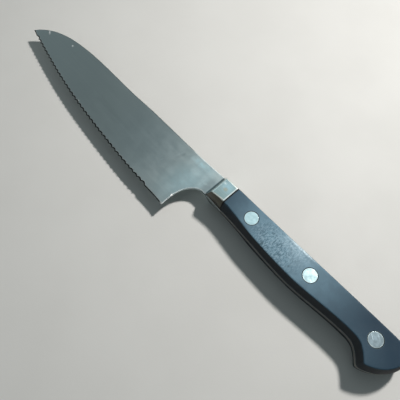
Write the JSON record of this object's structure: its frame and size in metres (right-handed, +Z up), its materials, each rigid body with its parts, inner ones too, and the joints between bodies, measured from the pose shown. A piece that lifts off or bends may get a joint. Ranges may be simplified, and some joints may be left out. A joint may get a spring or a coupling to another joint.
{
  "type": "serrated utility knife",
  "caption": "Serrated utility knife with a wide heel, a full tang, a steel bolster and black riveted scales with a hooked butt, lying on its right side.",
  "frame": {"origin": "centre of the knife's bounding box, on the surface that it lies on", "axes": "+X from the point to the butt, +Y from the cutting edge to the spine, +Z up out of the left side of the knife"},
  "size_m": [0.2654, 0.0342, 0.0155],
  "materials": {
    "blade_steel": "fine satin ground along the blade",
    "bolster_steel": "brushed, rounded edges",
    "rivet_steel": "bright, ground flush",
    "handle_black": "satin black moulded plastic with a worn patch"
  },
  "bodies": {
    "root": {"blade": "blade_steel", "bolster_left": "bolster_steel", "bolster_right": "bolster_steel", "scale_left": "handle_black", "scale_right": "handle_black", "rivet_socket_front": "rivet_steel", "rivet_pin_front": "rivet_steel", "rivet_socket_middle": "rivet_steel", "rivet_pin_middle": "rivet_steel", "rivet_socket_rear": "rivet_steel", "rivet_pin_rear": "rivet_steel"}
  },
  "joints": []
}
